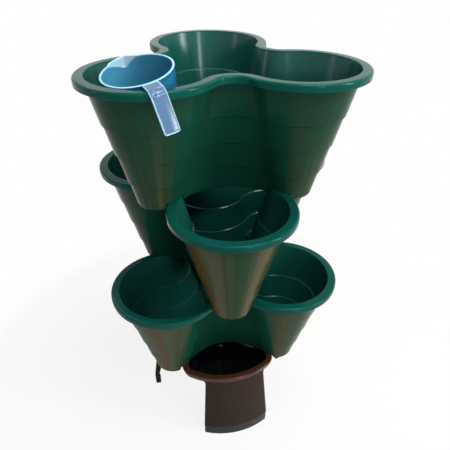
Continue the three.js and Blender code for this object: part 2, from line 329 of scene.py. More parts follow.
def stand_outline(inset):
    """A circle with three bites that follow the valleys of a pot's rim."""
    points = []
    corner = max(STAND_CORNER_RADIUS - inset, STAND_CORNER_LEAST)
    reach = STAND_RADIUS - inset - corner
    to_valley = VALLEY_RADIUS + inset + corner
    cosine = (reach**2 + VALLEY_DISTANCE**2 - to_valley**2) / (2 * reach * VALLEY_DISTANCE)
    aside = math.acos(cosine)
    lean = math.atan2(reach * math.sin(aside), VALLEY_DISTANCE - reach * cosine)
    for k in range(3):
        a = QUARTER + k * THIRD
        points += arc(polar(reach, a - aside), corner, a - aside, a + lean, CORNER_STEPS)
        points += arc(
            polar(VALLEY_DISTANCE, a), -VALLEY_RADIUS - inset, a + lean, a - lean, BITE_STEPS
        )[1:-1]
        points += arc(polar(reach, a + aside), corner, a - lean, a + aside, CORNER_STEPS)
        points += arc(
            Vector((0, 0)), STAND_RADIUS - inset, a + aside, a + THIRD - aside, ARC_STEPS
        )[1:-1]
    return points


def rounded(corners, steps=ROUND_STEPS, guard=GUARD):
    """A profile through corners (across, z, radius), each rounded, with guard points beside each
    rounding so that the flat stretches stay flat when they are shaded smooth."""
    points = [Vector(corners[0][:2])]
    for (x0, z0, _), (x, z, radius), (x1, z1, _) in zip(corners, corners[1:], corners[2:]):
        here = Vector((x, z))
        before = Vector((x0, z0)) - here
        after = Vector((x1, z1)) - here
        if radius <= 0:
            points.append(here)
            continue
        half = before.angle(after) / 2
        cut = min(radius / math.tan(half), ROUND_SHARE * before.length, ROUND_SHARE * after.length)
        radius = cut * math.tan(half)
        inward = (before.normalized() + after.normalized()).normalized()
        middle = here + inward * radius / math.sin(half)
        start = here + before.normalized() * cut
        end = here + after.normalized() * cut
        room = min(guard, GUARD_SHARE * before.length)
        if room > GUARD_LEAST:
            points.append(start + before.normalized() * room)
        u, v = start - middle, end - middle
        turn = u.angle(v)
        for i in range(steps + 1):
            t = i / steps
            points.append(
                middle + (u * math.sin((1 - t) * turn) + v * math.sin(t * turn)) / math.sin(turn)
            )
        room = min(guard, GUARD_SHARE * after.length)
        if room > GUARD_LEAST:
            points.append(end + after.normalized() * room)
    points.append(Vector(corners[-1][:2]))
    return points


def make_object(name, vertices, faces):
    mesh = bpy.data.meshes.new(name)
    mesh.from_pydata([Vector(v) * MM for v in vertices], [], faces)
    mesh.validate()
    made = bpy.data.objects.new(name, mesh)
    bpy.context.scene.collection.objects.link(made)
    return made


def loft(name, rings, wrap=False):
    """A closed surface through rings of (outline, z), capped, or joined at the ends for wrap."""
    count = len(rings[0][0])
    vertices = [(p[0], p[1], z) for outline, z in rings for p in outline]
    faces = []
    for i in range(len(rings) if wrap else len(rings) - 1):
        a, b = i * count, ((i + 1) % len(rings)) * count
        for j in range(count):
            k = (j + 1) % count
            faces.append((a + j, a + k, b + k, b + j))
    if not wrap:
        faces.append(tuple(range(count - 1, -1, -1)))
        last = (len(rings) - 1) * count
        faces.append(tuple(range(last, last + count)))
    made = make_object(name, vertices, faces)
    fix_normals(made)
    return made


def fix_normals(made):
    work = bmesh.new()
    work.from_mesh(made.data)
    bmesh.ops.recalc_face_normals(work, faces=work.faces)
    work.to_mesh(made.data)
    work.free()


def combine(made, other, operation):
    """Changes one closed mesh by another, which is then deleted."""
    modifier = made.modifiers.new("cut", "BOOLEAN")
    modifier.object = other
    modifier.operation = operation
    modifier.solver = "MANIFOLD"
    bpy.context.view_layer.update()
    graph = bpy.context.evaluated_depsgraph_get()
    result = bpy.data.meshes.new_from_object(made.evaluated_get(graph))
    made.modifiers.clear()
    made.data = result
    bpy.data.objects.remove(other)


def finish_mesh(made, materials, zone=None):
    """Smooth shading with crisp edges at real corners, and a material for each zone."""
    mesh = made.data
    mesh.materials.clear()
    for material in materials:
        mesh.materials.append(material)
    work = bmesh.new()
    work.from_mesh(mesh)
    bmesh.ops.remove_doubles(work, verts=work.verts, dist=WELD_DISTANCE)
    bmesh.ops.dissolve_degenerate(work, edges=work.edges, dist=WELD_DISTANCE)
    for face in work.faces:
        face.smooth = True
        if zone:
            face.material_index = zone(face.calc_center_median() / MM, face.normal)
    for edge in work.edges:
        edge.smooth = not (len(edge.link_faces) == 2 and edge.calc_face_angle(0) > CRISP_ANGLE)
    work.to_mesh(mesh)
    work.free()


def mark_lines(made, line):
    """Keeps where each point's moulding line starts, so that flow marks, and the painted reflection
    bands laid along them, follow the walls.
    """
    marks = made.data.attributes.new("moulding_line", "FLOAT_VECTOR", "POINT")
    for point, mark in zip(made.data.vertices, marks.data):
        mark.vector = line(point.co / MM) * MM


def round_line(point):
    """Moulding lines of a round piece run straight down from a circle."""
    return polar(MARK_RADIUS, math.atan2(point.y, point.x)).to_3d() + Vector((0, 0, point.z))


def wall_inset(depth):
    """How far inside the rim's edge the outside of a pot's wall lies at a depth below the rim."""
    taper = (WALL_BOTTOM_INSET - WALL_TOP_INSET - LEDGE_STEP * len(LEDGE_DEPTHS)) / POT_HEIGHT
    ledges = sum(depth > ledge for ledge in LEDGE_DEPTHS)
    return WALL_TOP_INSET + taper * depth + LEDGE_STEP * ledges


def pot_profile():
    """From the floor's outside, up the wall, over the rim and down to the floor's inside."""
    foot = wall_inset(POT_HEIGHT)
    inner_foot = wall_inset(POT_HEIGHT - POT_WALL) + POT_WALL
    corners = [(foot + FLOOR_FLAT, 0, 0), (foot, 0, FLOOR_ROUND)]
    for ledge in reversed(LEDGE_DEPTHS):
        low = ledge + LEDGE_HEIGHT
        corners.append((wall_inset(low), POT_HEIGHT - low, LEDGE_ROUND))
        corners.append((wall_inset(ledge), POT_HEIGHT - ledge, LEDGE_ROUND))
    under = POT_HEIGHT - RIM_LIP_WALL
    lip = POT_HEIGHT - RIM_LIP_HEIGHT
    corners += [
        (wall_inset(RIM_LIP_WALL), under, EDGE_ROUND),
        (RIM_LIP_WALL, under, EDGE_ROUND),
        (RIM_LIP_WALL, lip, EDGE_ROUND),
        (0, lip, EDGE_ROUND),
        (0, POT_HEIGHT, RIM_ROUND),
        (RIM_WIDTH, POT_HEIGHT, RIM_INNER_ROUND),
    ]
    for ledge in LEDGE_DEPTHS:
        low = ledge + LEDGE_HEIGHT
        corners.append((wall_inset(ledge) + POT_WALL, POT_HEIGHT - ledge, LEDGE_ROUND))
        corners.append((wall_inset(low) + POT_WALL, POT_HEIGHT - low, LEDGE_ROUND))
    corners += [(inner_foot, POT_WALL, FLOOR_ROUND), (inner_foot + INNER_FLOOR_FLAT, POT_WALL, 0)]
    return rounded(corners)


def band(name, outline, outer, inner, bottom, top, round_top):
    """A raised or sunk band between two insets of one outline, with rounded upper edges."""
    profile = rounded([
        (outer, bottom, 0), (outer, top, round_top), (inner, top, round_top), (inner, bottom, 0),
    ], BAND_ROUND_STEPS)
    return loft(name, [(outline(p[0]), p[1]) for p in profile], wrap=True)


def drain(name, centre):
    ring = [centre + polar(DRAIN_RADIUS, 2 * math.pi * i / DRAIN_STEPS) for i in range(DRAIN_STEPS)]
    return loft(name, [(ring, DRAIN_FROM), (ring, DRAIN_TO)])


def pot_zone(centre, _normal):
    """0 on the walls' outside, 1 on the rim, 2 on the inside and the floor."""
    depth = POT_HEIGHT - centre.z
    ahead = (math.atan2(centre.y, centre.x) - QUARTER + THIRD / 2) % THIRD - THIRD / 2
    spot = polar(math.hypot(centre.x, centre.y), abs(ahead))
    to_lobe = spot - Vector((LOBE_DISTANCE, 0))
    if math.atan2(to_lobe.y, to_lobe.x) <= LOBE_HALF_SWEEP:
        inset = LOBE_RADIUS - to_lobe.length
    else:
        inset = (spot - polar(VALLEY_DISTANCE, THIRD / 2)).length - VALLEY_RADIUS
    if depth < RIM_LIP_HEIGHT + RIM_DROP_SLACK and inset < wall_inset(0) + RIM_INSET_SLACK:
        return 1
    if depth < RIM_TOP_SLACK:
        return 1
    if centre.z < POT_WALL / 2 or inset < wall_inset(depth) + POT_WALL / 2:
        return 0
    return 2


def pot_line(point):
    """Moulding lines of a pot run down its walls from the trefoil at the rim's edge."""
    angle = math.atan2(point.y, point.x) - QUARTER
    turn = round(angle / THIRD) * THIRD
    spot = polar(math.hypot(point.x, point.y), angle - turn)
    from_lobe = spot - Vector((LOBE_DISTANCE, 0))
    if abs(math.atan2(from_lobe.y, from_lobe.x)) <= LOBE_HALF_SWEEP:
        edge = Vector((LOBE_DISTANCE, 0)) + from_lobe.normalized() * LOBE_RADIUS
    else:
        valley = polar(VALLEY_DISTANCE, math.copysign(THIRD / 2, spot.y))
        edge = valley + (spot - valley).normalized() * VALLEY_RADIUS
    edge = polar(edge.length, math.atan2(edge.y, edge.x) + turn + QUARTER)
    return Vector((edge.x, edge.y, point.z))


def make_pot(name, materials, turn, height, body, node):
    pot = loft(name, [(trefoil(p[0]), p[1]) for p in pot_profile()])

    def rim_below(inset):
        return trefoil(inset, THIRD / 2)

    groove_top = SEAT_DEPTH + SEAT_GAP
    groove_inset = wall_inset(SEAT_DEPTH) + POT_WALL + GROOVE_CLEARANCE
    ridge = band(
        "ridge", rim_below, -GROOVE_CLEARANCE - POT_WALL, groove_inset + POT_WALL, RIDGE_FOOT,
        groove_top + POT_WALL, RIDGE_ROUND,
    )
    core_foot = wall_inset(POT_HEIGHT) + POT_WALL / 2
    core_top = wall_inset(POT_HEIGHT - CORE_TOP) + POT_WALL / 2
    core = loft("core", [(trefoil(core_foot), CORE_FOOT), (trefoil(core_top), CORE_TOP)])
    combine(ridge, core, "INTERSECT")
    combine(pot, ridge, "UNION")
    groove = band(
        "groove", rim_below, -GROOVE_CLEARANCE, groove_inset, GROOVE_FOOT, groove_top, EDGE_ROUND,
    )
    combine(pot, groove, "DIFFERENCE")
    combine(pot, drain("hole", Vector((0, 0))), "DIFFERENCE")
    for k in range(3):
        combine(pot, drain("hole", polar(VALLEY_DISTANCE, QUARTER + k * THIRD)), "DIFFERENCE")
    finish_mesh(pot, materials, pot_zone)
    mark_lines(pot, lambda point: pot_line(point) + Vector((0, 0, MARK_SHIFT * height)))
    pot.data.transform(Matrix.Translation((0, 0, height * MM)) @ Matrix.Rotation(turn, 4, "Z"))
    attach(pot, body)
    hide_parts(node)


def leg_radius(z):
    """Outside radius of a leg, which leans out towards its foot."""
    top = STAND_HEIGHT - STAND_LIP_HEIGHT
    rise = max(z - LEG_STEP, 0) / (top - LEG_STEP)
    return LEG_FOOT_RADIUS + (LEG_TOP_RADIUS - LEG_FOOT_RADIUS) * rise


def leg_edge(z):
    """Depth of a leg's side edges, which grow towards the rim."""
    rise = max(z - LEG_STEP, 0) / (STAND_HEIGHT - STAND_LIP_HEIGHT - LEG_STEP)
    return LEG_FOOT_EDGE + (LEG_TOP_EDGE - LEG_FOOT_EDGE) * min(rise, 1)


def leg_half(z):
    """Half the angle that a leg takes up, which grows in a fillet under the rim."""
    start = STAND_HEIGHT - STAND_LIP_HEIGHT - LEG_FILLET
    up = min(max(z - start, 0), LEG_FILLET)
    return LEG_HALF_ANGLE + (LEG_FILLET - math.sqrt(LEG_FILLET**2 - up**2)) / leg_radius(z)


def leg_section(z, grow, sink=0.0):
    """Half of a leg's section mirrored into a whole one, grown on every side after its outside
    and its side edges have been sunk."""
    middle = leg_radius(z) - sink
    outside = middle + grow
    inside = middle - LEG_WALL - grow
    edge = middle - leg_edge(z) - grow
    half = leg_half(z) + (grow - sink) / middle
    inner = half - (LEG_EDGE_WALL + 2 * grow) / middle
    big = max(LEG_EDGE_ROUND + grow, LEG_ROUND_LEAST)
    tip = min(LEG_TIP_ROUND + grow, (LEG_EDGE_WALL + 2 * grow) * LEG_TIP_SHARE)
    tip = max(tip, LEG_ROUND_LEAST)
    origin = Vector((0, 0))
    at = half - math.asin(big / (outside - big))
    side = arc(origin, outside, 0, at, LEG_STEPS // 2)
    side += arc(polar(outside - big, at), big, at, at + QUARTER, LEG_EDGE_STEPS)[1:]
    at = half - math.asin(tip / (edge + tip))
    side += arc(polar(edge + tip, at), tip, at + QUARTER, at + 2 * QUARTER, LEG_TIP_STEPS)
    at = inner + math.asin(tip / (edge + tip))
    side += arc(polar(edge + tip, at), tip, at + 2 * QUARTER, at + 3 * QUARTER, LEG_TIP_STEPS)
    hollow = max(big - LEG_WALL - 2 * grow, LEG_HOLLOW_LEAST)
    at = inner - math.asin(hollow / (inside - hollow))
    side += arc(polar(inside - hollow, at), hollow, at + QUARTER, at, LEG_TIP_STEPS)
    side += arc(origin, inside, at, 0, LEG_STEPS // 2)[1:]
    other = [Vector((p.x, -p.y)) for p in reversed(side[1:-1])]
    return side + other


def leg_turn(k):
    return QUARTER + THIRD / 2 + k * THIRD + LEG_TURN


def make_leg(name, k):
    lip = STAND_HEIGHT - STAND_LIP_HEIGHT
    rise = lip - LEG_FILLET - LEG_STEP
    heights = [LEG_STEP + level for level in LEG_STEP_LEVELS]
    heights += [LEG_STEP + rise * i / LEG_LEVELS for i in range(1, LEG_LEVELS + 1)]
    heights += [
        lip - LEG_FILLET * math.cos(QUARTER * i / LEG_FILLET_LEVELS)
        for i in range(1, LEG_FILLET_LEVELS + 1)
    ]
    heights.append(STAND_HEIGHT - STAND_WALL / 2)
    rings = [(leg_section(z, 0, SHOE_SINK), z) for z in (SHOE_FLOOR + SHOE_GAP, LEG_STEP)]
    leg = loft(name, rings + [(leg_section(z, 0), z) for z in heights])
    leg.data.transform(Matrix.Rotation(leg_turn(k), 4, "Z"))
    return leg


def stand_profile():
    floor = STAND_HEIGHT - DISH_DEPTH
    wall_top = STAND_RIM_WIDTH - STAND_WALL
    wall_foot = wall_top + DISH_FLARE
    inner_foot = wall_foot + STAND_WALL
    under = STAND_HEIGHT - STAND_WALL
    lip = STAND_HEIGHT - STAND_LIP_HEIGHT
    return rounded([
        (wall_foot + FLOOR_FLAT, floor, 0),
        (wall_foot, floor, DISH_FLOOR_ROUND),
        (wall_top, under, EDGE_ROUND),
        (STAND_WALL, under, EDGE_ROUND),
        (STAND_LIP_TAPER + STAND_WALL, lip, EDGE_ROUND),
        (STAND_LIP_TAPER, lip, EDGE_ROUND),
        (0, STAND_HEIGHT, STAND_RIM_ROUND),
        (STAND_RIM_WIDTH, STAND_HEIGHT, STAND_RIM_INNER_ROUND),
        (inner_foot, floor + STAND_WALL, DISH_FLOOR_ROUND),
        (inner_foot + FLOOR_FLAT, floor + STAND_WALL, 0),
    ])


def stand_zone(centre, normal):
    """0 on the legs and the outside, 1 on the rim and its lip, which take a redder brown as painted
    light, 2 in the dish, which takes near black as painted shade.
    """
    if centre.z > STAND_HEIGHT - STAND_TOP_SLACK:
        return 1
    radius = math.hypot(centre.x, centre.y)
    share = (STAND_HEIGHT - centre.z) / STAND_LIP_HEIGHT
    lip_inset = STAND_LIP_TAPER * share + STAND_LIP_SLACK
    if share < STAND_LIP_SHARE and radius > STAND_RADIUS - lip_inset:
        return 1
    above_floor = centre.z > STAND_HEIGHT - DISH_DEPTH + DISH_SLACK
    inside_rim = radius < STAND_RADIUS - STAND_RIM_WIDTH + DISH_SLACK
    return 2 if above_floor and inside_rim and normal.z > DISH_TILT else 0


def make_stand(materials):
    stand = loft("stand_ring", [(stand_outline(p[0]), p[1]) for p in stand_profile()])
    for k in range(3):
        combine(stand, make_leg("leg", k), "UNION")
    floor = STAND_HEIGHT - DISH_DEPTH + STAND_WALL + DISH_FLOOR_ROUND
    foot = STAND_RIM_WIDTH + DISH_FLARE
    mouth = STAND_WALL * HOLLOW_MOUTH_SHARE
    inset = STAND_RIM_WIDTH + DISH_FLARE * mouth / (DISH_DEPTH - STAND_WALL) + HOLLOW_MOUTH_INSET
    hollow = loft("hollow", [
        (stand_outline(foot + HOLLOW_FOOT_INSET), floor),
        (stand_outline(inset), STAND_HEIGHT - mouth),
    ])
    combine(stand, hollow, "DIFFERENCE")
    finish_mesh(stand, materials, stand_zone)
    mark_lines(stand, round_line)
    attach(stand, "stand")
    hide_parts("stand")


def make_shoe(side, k, material):
    """A cap round the leg's foot, lofted down its outside, under it and up inside the pocket."""
    profile = rounded([
        (SHOE_SINK - SHOE_SOLE_FLAT, 0, 0),
        (SHOE_SINK, 0, SHOE_ROUND),
        (SHOE_SINK, SHOE_HEIGHT, SHOE_MOUTH_ROUND),
        (SHOE_GAP, SHOE_HEIGHT, SHOE_MOUTH_ROUND),
        (SHOE_GAP, SHOE_FLOOR, 0),
    ], FINE_ROUND_STEPS, FINE_GUARD)
    shoe = loft(f"{side}_shoe", [
        (leg_section(min(p[1], SHOE_HEIGHT), p[0], SHOE_SINK), p[1]) for p in profile[1:]
    ])
    shoe.data.transform(Matrix.Rotation(leg_turn(k), 4, "Z"))
    finish_mesh(shoe, [material])
    mark_lines(shoe, round_line)
    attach(shoe, "stand")
    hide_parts(f"{side}_foot_shoe")


def spout_push(aside, share):
    """How far the lip pushes the wall out beside its lowest point, at a share of its full size."""
    for (start, from_reach), (stop, to_reach) in zip(SPOUT_CORNERS, SPOUT_CORNERS[1:]):
        along = (aside / share - start) / (stop - start)
        if 0 <= along <= 1:
            return share * (from_reach + (to_reach - from_reach) * along)
    return 0


def jug_ring(radius, z):
    share = 1 + z / SPOUT_DEPTH
    outline = []
    for i in range(JUG_STEPS):
        angle = 2 * math.pi * i / JUG_STEPS
        push = spout_push(angle - SPOUT_ANGLE, share) if share > 0 else 0
        outline.append(polar(radius + push, angle))
    return outline, z


def jug_side(z):
    """Outside radius of the jug's wall, which is tucked in under the bead of its rim."""
    tuck = (z + SPOUT_DEPTH) / (SPOUT_DEPTH - JUG_BEAD_HEIGHT)
    side = JUG_RADIUS + (JUG_RADIUS - JUG_FOOT_RADIUS) * z / JUG_HEIGHT
    return side - JUG_BEAD * min(max(tuck, 0), 1)


def make_jug_body():
    drop = SPOUT_DEPTH - JUG_BEAD_HEIGHT
    levels = [-SPOUT_DEPTH + drop * i / SPOUT_LEVELS for i in range(SPOUT_LEVELS)]
    below = -SPOUT_DEPTH - SPOUT_MARGIN
    inner_floor = JUG_FLOOR - JUG_HEIGHT
    profile = rounded([
        (JUG_FOOT_RADIUS - JUG_FOOT_FLAT, -JUG_HEIGHT, 0),
        (JUG_FOOT_RADIUS, -JUG_HEIGHT, JUG_FOOT_ROUND),
        (jug_side(below), below, 0),
    ], FINE_ROUND_STEPS, FINE_GUARD)
    profile += [Vector((jug_side(z), z)) for z in levels]
    profile += rounded([
        (jug_side(-JUG_BEAD_HEIGHT), -JUG_BEAD_HEIGHT - BEAD_FOOT_ROUND, 0),
        (jug_side(-JUG_BEAD_HEIGHT), -JUG_BEAD_HEIGHT, BEAD_FOOT_ROUND),
        (JUG_RADIUS, -JUG_BEAD_HEIGHT, BEAD_LOWER_ROUND),
        (JUG_RADIUS, 0, BEAD_UPPER_ROUND),
        (JUG_RADIUS - JUG_WALL - JUG_BEAD, 0, BEAD_INNER_ROUND),
        (jug_side(-JUG_BEAD_HEIGHT) - JUG_WALL, -JUG_BEAD_HEIGHT, 0),
    ], FINE_ROUND_STEPS, FINE_GUARD)
    profile += [Vector((jug_side(z) - JUG_WALL, z)) for z in reversed(levels)]
    profile += rounded([
        (jug_side(below) - JUG_WALL, below, 0),
        (JUG_FOOT_RADIUS - JUG_WALL, inner_floor, JUG_INNER_FOOT_ROUND),
        (JUG_FOOT_RADIUS - JUG_INNER_FOOT_FLAT, inner_floor, 0),
    ], FINE_ROUND_STEPS, FINE_GUARD)
    return loft("jug_cup", [jug_ring(p[0], p[1]) for p in profile])


def strap_path():
    """Middle line of the strap from inside the wall, over the bend and down, with its normals."""
    root = JUG_RADIUS - JUG_WALL / 2
    half = STRAP_WALL / 2
    middle = Vector((JUG_RADIUS + STRAP_FLAT, -half - STRAP_BEND))
    line = []
    for i in range(STRAP_FLAT_STEPS):
        x = root + (middle.x - root) * i / STRAP_FLAT_STEPS
        line.append((Vector((x, -half)), Vector((0, 1))))
    for i in range(STRAP_BEND_STEPS + 1):
        a = QUARTER + (STRAP_SPLAY - QUARTER) * i / STRAP_BEND_STEPS
        line.append((middle + polar(STRAP_BEND, a), polar(1, a)))
    down = polar(1, STRAP_SPLAY - QUARTER)
    top, out = line[-1]
    ends = [STRAP_DROP_START]
    ends += [STRAP_DROP * i / STRAP_DROP_STEPS for i in range(1, STRAP_DROP_STEPS)]
    for i in range(STRAP_END_STEPS + 1):
        ends.append(STRAP_DROP - STRAP_END_ROUND * (1 - math.sin(QUARTER * i / STRAP_END_STEPS)))
    for drop in ends:
        line.append((top + down * drop, out))
    return line


def strap_section():
    """Section across the strap: a sunk middle between two raised borders, with round corners."""
    half_width, half = STRAP_WIDTH / 2, STRAP_WALL / 2
    corner = half * STRAP_CORNER_SHARE
    slope = half_width - STRAP_BORDER
    right = [Vector((slope + aside, half - STRAP_SUNK * share)) for aside, share in STRAP_SLOPE]
    for i in range(STRAP_CORNER_STEPS + 1):
        angle = QUARTER * (1 - i / STRAP_CORNER_STEPS)
        right.append(Vector((half_width - corner, half - corner)) + polar(corner, angle))
    for i in range(STRAP_CORNER_STEPS + 1):
        angle = -QUARTER * i / STRAP_CORNER_STEPS
        right.append(Vector((half_width - corner, corner - half)) + polar(corner, angle))
    return right + [Vector((-p.x, p.y)) for p in reversed(right)]


def make_strap():
    section = strap_section()
    vertices, faces = [], []
    line = strap_path()
    last = line[-1][0]
    for spot, normal in line:
        # The free end narrows over its last few millimetres, so its corners are round, and its
        # sunk middle rises to the height of the borders there
        to_end = (spot - last).length if spot.y < -STRAP_BEND else STRAP_DROP
        rise = min(to_end, STRAP_END_ROUND)
        chord = math.sqrt(max(STRAP_END_ROUND**2 - (STRAP_END_ROUND - rise) ** 2, 0))
        squeeze = 1 - (STRAP_END_ROUND - chord) / (STRAP_WIDTH / 2)
        edge = min(to_end / STRAP_BORDER, 1)
        for across, up in section:
            in_middle = abs(across) < STRAP_WIDTH / 2 - STRAP_BORDER + STRAP_BORDER_SLACK
            if up > 0 and in_middle and edge < 1:
                up = STRAP_WALL / 2 - (STRAP_WALL / 2 - up) * edge
            place = spot + normal * up
            vertices.append((place.x, across * squeeze, place.y))
    count = len(section)
    for i in range(len(line) - 1):
        for j in range(count):
            k = (j + 1) % count
            faces.append((i * count + j, i * count + k, (i + 1) * count + k, (i + 1) * count + j))
    faces.append(tuple(range(count - 1, -1, -1)))
    faces.append(tuple(range((len(line) - 1) * count, len(line) * count)))
    strap = make_object("strap", vertices, faces)
    fix_normals(strap)
    return strap


def make_boss():
    """A low ring with a sunk middle on the outside of the strap's bend."""
    profile = [(BOSS_RADIUS, -STRAP_WALL * BOSS_ROOT_SHARE, 0)]
    profile += [(BOSS_RADIUS - inset, height, radius) for inset, height, radius in BOSS_PROFILE]
    profile.append((BOSS_MIDDLE, BOSS_RISE - BOSS_SUNK, 0))
    boss = loft("boss", [
        ([polar(p[0], 2 * math.pi * j / BOSS_STEPS) for j in range(BOSS_STEPS)], p[1])
        for p in rounded(profile, FINE_ROUND_STEPS, BOSS_GUARD)
    ])
    middle = Vector((JUG_RADIUS + STRAP_FLAT, -STRAP_WALL / 2 - STRAP_BEND))
    spot = middle + polar(STRAP_BEND + STRAP_WALL / 2 - STRAP_SUNK, BOSS_ANGLE)
    place = Matrix.Translation(Vector((spot.x, BOSS_ASIDE, spot.y)) * MM)
    boss.data.transform(place @ Matrix.Rotation(QUARTER - BOSS_ANGLE, 4, "Y"))
    return boss


def jug_zone(centre, _normal):
    """0 on the cup's outside, 1 on the strap, 2 on the cup's bead, 3 on the strap's borders,
    4 on the cup's inside and 5 inside the lip. The strap and the inside take lighter blues as
    painted light, and the bead, the borders and the lip pale blues as painted highlights."""
    if centre.x > JUG_RADIUS + STRAP_SLACK:
        end = Vector((JUG_RADIUS + STRAP_FLAT, -STRAP_WALL / 2 - STRAP_BEND))
        end += polar(STRAP_BEND, STRAP_SPLAY) + polar(STRAP_DROP, STRAP_SPLAY - QUARTER)
        to_end = (end - Vector((centre.x, centre.z))).dot(polar(1, STRAP_SPLAY - QUARTER))
        edge = abs(centre.y) > STRAP_WIDTH / 2 - STRAP_BORDER or to_end < STRAP_BORDER
        return 3 if edge else 1
    if centre.z > -BEAD_SLACK:
        return 2
    if centre.z < JUG_FLOOR / 2 - JUG_HEIGHT:
        return 0
    share = 1 + centre.z / SPOUT_DEPTH
    aside = (math.atan2(centre.y, centre.x) - SPOUT_ANGLE + math.pi) % (2 * math.pi) - math.pi
    push = spout_push(aside, share) if share > 0 else 0
    if math.hypot(centre.x, centre.y) > jug_side(centre.z) - JUG_WALL / 2 + push:
        return 0
    return 5 if push > 0 else 4


def jug_place():
    """Puts the inner side of the strap's bend on the rim, with the jug leaning in its lobe."""
    lobe = polar(LOBE_DISTANCE, QUARTER + HOOK_LOBE * THIRD)
    spot = polar(LOBE_RADIUS - RIM_ROUND, HOOK_ANGLE) + lobe
    hook = Vector((spot.x, spot.y, TOWER_HEIGHT + HOOK_GAP))
    seat = Vector((JUG_RADIUS + STRAP_FLAT, -STRAP_WIDTH / 2, -STRAP_WALL))
    turn = JUG_TURN.to_matrix()
    return Matrix.Translation((hook - turn @ seat) * MM) @ turn.to_4x4()


def make_jug(materials):
    jug = make_jug_body()
    combine(jug, make_strap(), "UNION")
    combine(jug, make_boss(), "UNION")
    finish_mesh(jug, materials, jug_zone)
    mark_lines(jug, round_line)
    jug.name = "measuring_jug"
    jug.data.transform(jug_place())
    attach(jug, "jug")
    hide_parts("jug")


def linear(r, g, b):
    """A colour given in screen values from 0 to 255, as a shader takes it."""
    def one(value):
        c = value / 255
        return c / 12.92 if c <= 0.04045 else ((c + 0.055) / 1.055) ** 2.4
    return one(r), one(g), one(b), 1.0


def join(nodes, links, operation, first, second):
    """A math node of two values, each a number or another node's output."""
    made = nodes.new("ShaderNodeMath")
    made.operation = operation
    for value, socket in zip((first, second), made.inputs):
        if isinstance(value, float):
            socket.default_value = value
        else:
            links.new(value, socket)
    return made.outputs["Value"]


